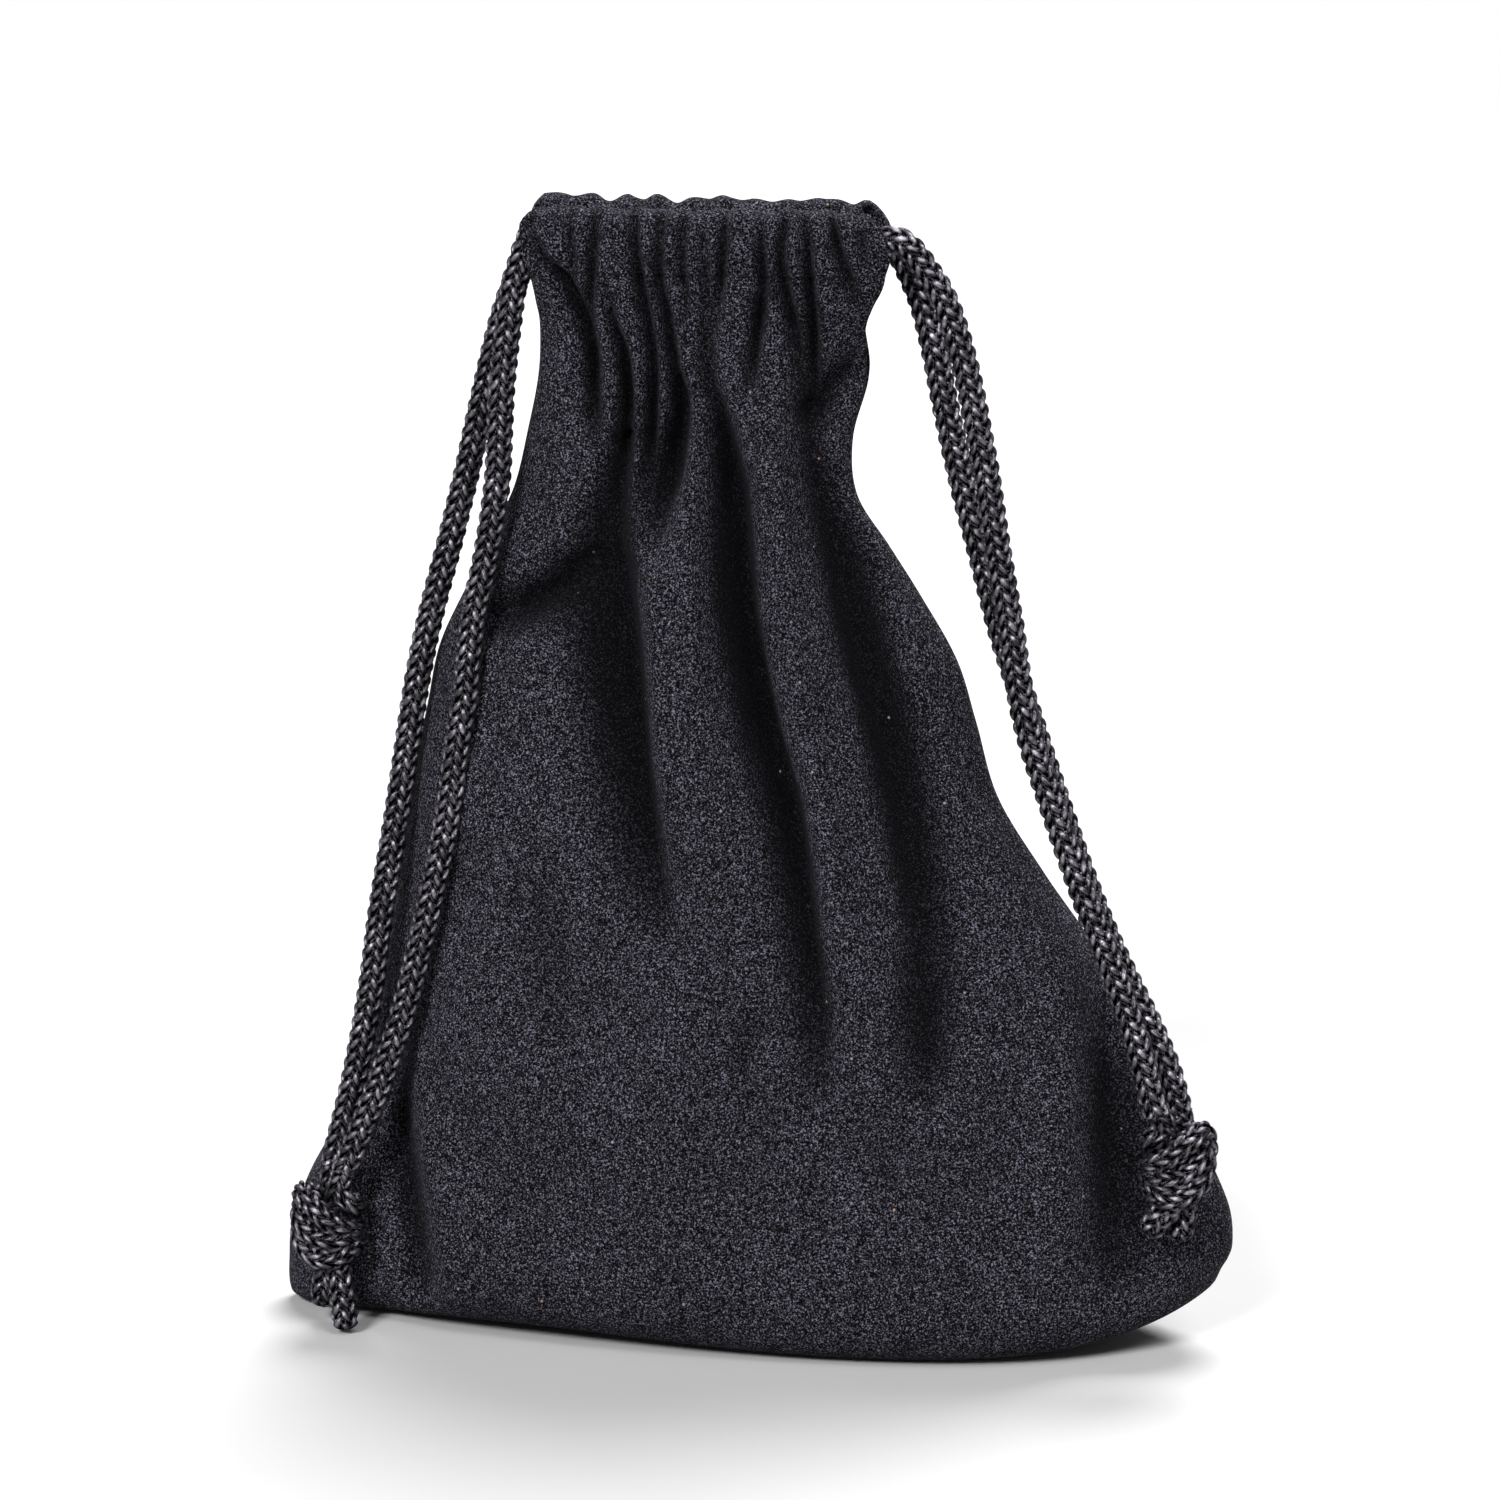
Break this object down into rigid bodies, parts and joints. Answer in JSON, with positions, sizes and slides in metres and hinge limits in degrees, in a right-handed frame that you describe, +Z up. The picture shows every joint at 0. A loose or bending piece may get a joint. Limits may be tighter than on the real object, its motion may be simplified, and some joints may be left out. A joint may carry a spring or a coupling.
{
  "type": "drawstring bag",
  "caption": "Gathered cloth pouch with a stitched casing and braided drawcords that end in knots, for keeping dice and small game pieces.",
  "frame": {"origin": "middle of the base of the standing pouch, on the ground", "axes": "+Z up from the base to the mouth, -Y the front, +X to the right seen from the front"},
  "size_m": [0.1538, 0.053, 0.1835],
  "materials": {
    "cloth": "matte black napped velveteen",
    "casing_cloth": "the same cloth, gathered",
    "thread": "black sewing thread",
    "cord": "black braided cord with a soft gloss"
  },
  "bodies": {
    "root": {"front_panel": "cloth", "back_panel": "cloth", "left_seam_allowance": "cloth", "right_seam_allowance": "cloth", "bottom_seam_allowance": "cloth", "left_seam_thread": "thread", "right_seam_thread": "thread", "bottom_seam_thread": "thread", "left_far_turn": "cord", "right_far_turn": "cord"},
    "front_lip": {"front_casing": "casing_cloth", "front_hem_stitches": "thread", "left_front_run": "cord", "right_front_run": "cord"},
    "back_lip": {"back_casing": "casing_cloth", "back_hem_stitches": "thread", "left_back_run": "cord", "right_back_run": "cord"},
    "left_cord": {"left_front_strand": "cord", "left_back_strand": "cord"},
    "left_knot": {"left_knot": "cord", "left_front_tail": "cord", "left_back_tail": "cord"},
    "right_cord": {"right_front_strand": "cord", "right_back_strand": "cord"},
    "right_knot": {"right_knot": "cord", "right_front_tail": "cord", "right_back_tail": "cord"}
  },
  "joints": [
    {"name": "left_cord_swing", "type": "hinge", "parent": "root", "child": "left_cord", "pos_m": [-0.0376, 0, 0.179], "axis": [0, 1, 0], "range_deg": [0, 75]},
    {"name": "left_cord_draw", "type": "slide", "parent": "left_cord", "child": "left_knot", "axis": [0.1746, 0.05, 0.9834], "range_m": [0, 0.045], "deforming": ["left_front_strand", "left_back_strand"]},
    {"name": "right_cord_swing", "type": "hinge", "parent": "root", "child": "right_cord", "pos_m": [0.0224, 0, 0.1764], "axis": [0, -1, 0], "range_deg": [0, 75]},
    {"name": "right_cord_draw", "type": "slide", "parent": "right_cord", "child": "right_knot", "axis": [-0.3273, 0.03, 0.9444], "range_m": [0, 0.045], "deforming": ["right_front_strand", "right_back_strand"]},
    {"name": "front_lip_open", "type": "hinge", "parent": "root", "child": "front_lip", "pos_m": [0, -0.0092, 0.17], "axis": [1, 0, 0], "range_deg": [0, 30], "deforming": ["left_far_turn", "right_far_turn"]},
    {"name": "back_lip_open", "type": "hinge", "parent": "root", "child": "back_lip", "pos_m": [0, 0.0092, 0.17], "axis": [-1, 0, 0], "range_deg": [0, 30]}
  ],
  "couplings": [
    {"joint": "right_cord_draw", "follows": "left_cord_draw", "ratio": 1},
    {"joint": "front_lip_open", "follows": "left_cord_draw", "rad_per_m": 11.635},
    {"joint": "back_lip_open", "follows": "left_cord_draw", "rad_per_m": 11.635}
  ]
}
